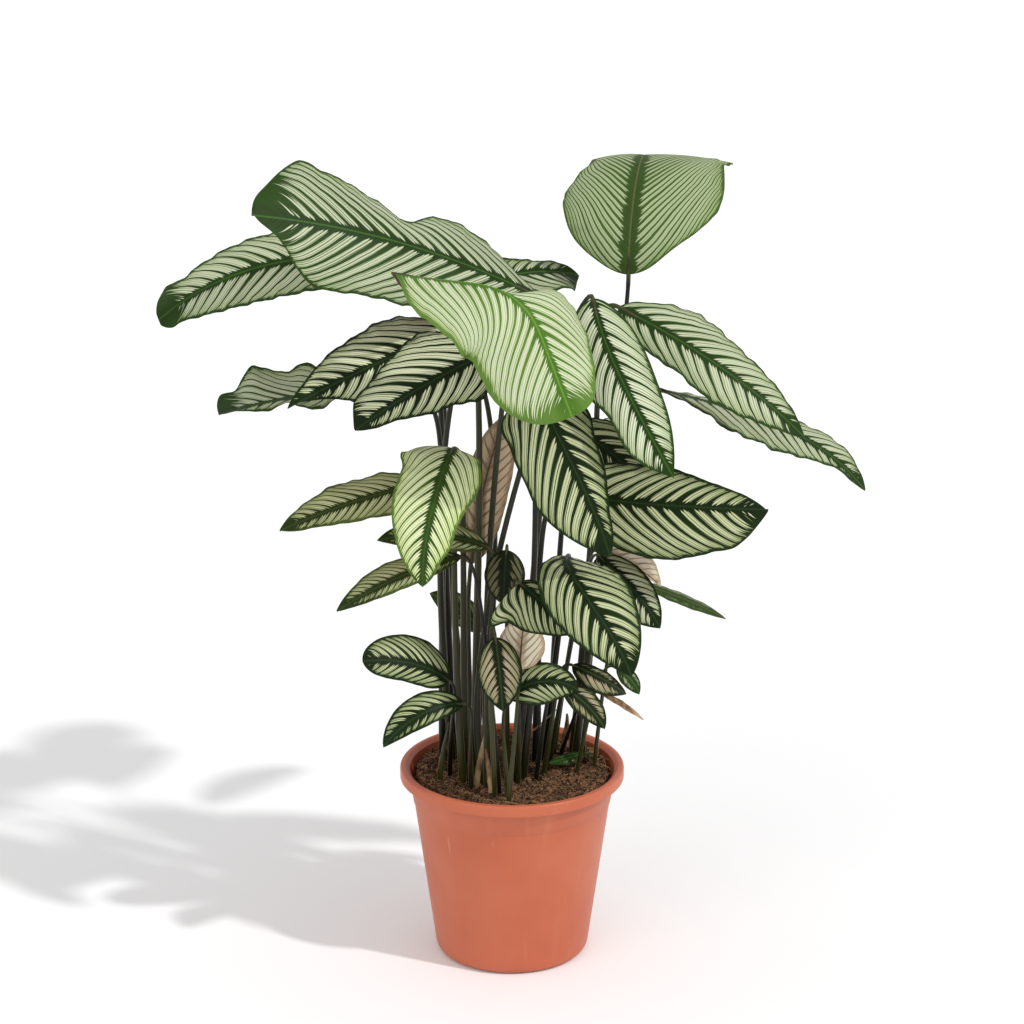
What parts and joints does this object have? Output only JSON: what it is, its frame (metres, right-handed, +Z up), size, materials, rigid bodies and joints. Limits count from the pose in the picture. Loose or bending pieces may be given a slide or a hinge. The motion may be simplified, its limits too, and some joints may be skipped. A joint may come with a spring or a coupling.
{
  "type": "potted plant",
  "caption": "Bushy potted foliage plant with long striped leaves on slim stalks, in soil in a round tapered nursery pot with a turned-down rim.",
  "frame": {"origin": "centre of the pot's flat underside, on the surface that the pot stands on", "axes": "+Z up along the pot's axis, +X to the right and +Y away from the viewer of the picture"},
  "size_m": [0.6491, 0.4013, 0.7646],
  "materials": {
    "pot_plastic": "smooth injection-moulded plastic, soft sheen",
    "soil": "moist crumbly potting soil with bark and fibres",
    "leaf": "living leaf: cream and dark green stripes, soft sheen",
    "dry_shoot": "dry papery sheath and young shoot"
  },
  "bodies": {
    "root": {"pot": "pot_plastic", "soil": "soil", "leaf_left_high": "leaf", "leaf_crown_left": "leaf", "leaf_crown_back": "leaf", "leaf_crown_front": "leaf", "leaf_front_right_high": "leaf", "leaf_right_high": "leaf", "leaf_far_right": "leaf", "leaf_upright_right": "leaf", "leaf_left_upper": "leaf", "leaf_left_front_upper": "leaf", "leaf_left_far": "leaf", "leaf_centre_front": "leaf", "leaf_right_mid": "leaf", "leaf_right_mid_back": "leaf", "leaf_left_bright": "leaf", "leaf_left_mid": "leaf", "leaf_left_tucked": "leaf", "leaf_left_low": "leaf", "leaf_upright_mid": "leaf", "leaf_right_arching": "leaf", "leaf_right_low": "leaf", "leaf_right_pale": "leaf", "leaf_right_thin": "leaf", "leaf_mid_front": "leaf", "leaf_mid_dark": "leaf", "leaf_mid_pale": "leaf", "leaf_mid_striped": "leaf", "leaf_mid_low": "leaf", "leaf_base_right": "leaf", "leaf_base_pink": "leaf", "leaf_base_curled": "leaf", "leaf_base_left_high": "leaf", "leaf_base_left_low": "leaf", "leaf_back_grey": "leaf", "leaf_on_soil": "leaf", "leaf_withered": "leaf", "leaf_strip": "leaf", "leaf_behind_left": "leaf", "leaf_behind_mid": "leaf", "leaf_behind_right": "leaf", "shoot_spike": "dry_shoot", "shoot_stub": "dry_shoot", "sheath_dry_left": "dry_shoot", "sheath_dry_right": "dry_shoot"}
  },
  "joints": []
}
